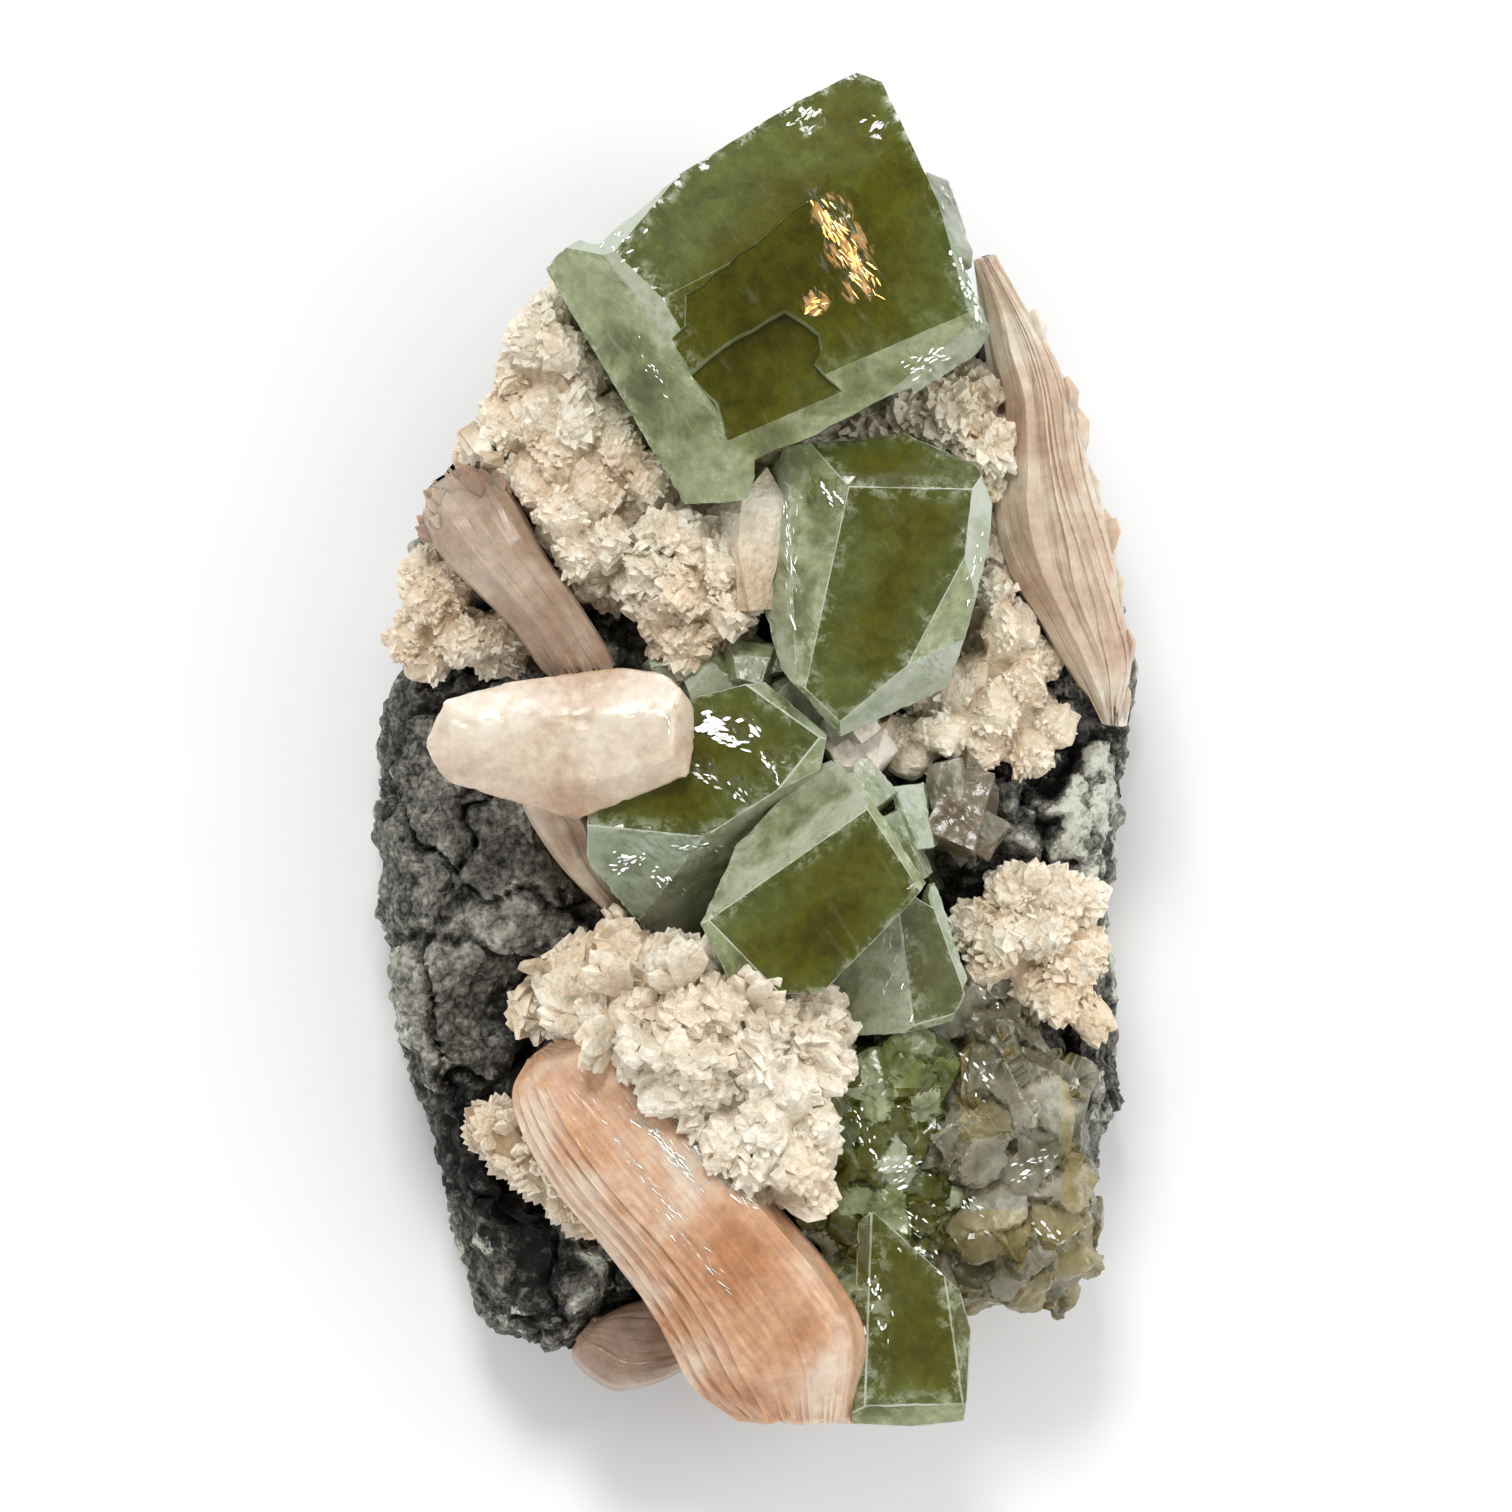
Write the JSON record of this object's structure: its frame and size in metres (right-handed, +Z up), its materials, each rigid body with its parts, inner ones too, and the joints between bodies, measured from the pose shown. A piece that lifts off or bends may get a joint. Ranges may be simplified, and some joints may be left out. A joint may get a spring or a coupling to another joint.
{
  "type": "mineral specimen of apophyllite with calcite and stilbite",
  "caption": "Mineral specimen: blocky green apophyllite crystals with orange and cream stilbite blades, pale calcite and a druse of small crystals on dark basalt.",
  "frame": {"origin": "middle of the bounding box at the flat-cut back, on which the specimen lies", "axes": "+Z up, out of the flat back, towards the crystals; +Y along the specimen, towards the largest green crystal; +X to the right as seen from above"},
  "size_m": [0.0612, 0.108, 0.0406],
  "materials": {
    "basalt": "dull, rough dark rock with pale specks",
    "apophyllite": "clear to cloudy green crystal with glassy and frosted faces",
    "clear_apophyllite": "colourless glassy crystal",
    "orange_stilbite": "pearly, finely striated orange to tan blades",
    "cream_stilbite": "pearly cream blades",
    "calcite": "translucent greyish to honey calcite",
    "druse": "crust of small cream crystals"
  },
  "bodies": {
    "root": {"basalt_block": "basalt", "apophyllite_top_crystal": "apophyllite", "apophyllite_upper_crystal": "apophyllite", "apophyllite_middle_cluster": "apophyllite", "apophyllite_lower_column": "apophyllite", "apophyllite_clear_crystal": "clear_apophyllite", "stilbite_orange_sheaf": "orange_stilbite", "stilbite_left_sheaf": "orange_stilbite", "stilbite_right_spray": "orange_stilbite", "stilbite_cream_tablet": "cream_stilbite", "stilbite_edge_blade": "cream_stilbite", "stilbite_foot_blade": "cream_stilbite", "calcite_stepped": "calcite", "calcite_corner": "calcite", "calcite_brown": "calcite", "druse_upper_left": "druse", "druse_centre": "druse", "druse_left_edge": "druse", "druse_right_upper": "druse", "druse_right_lower": "druse", "druse_lower": "druse", "druse_right_edge": "druse"}
  },
  "joints": []
}
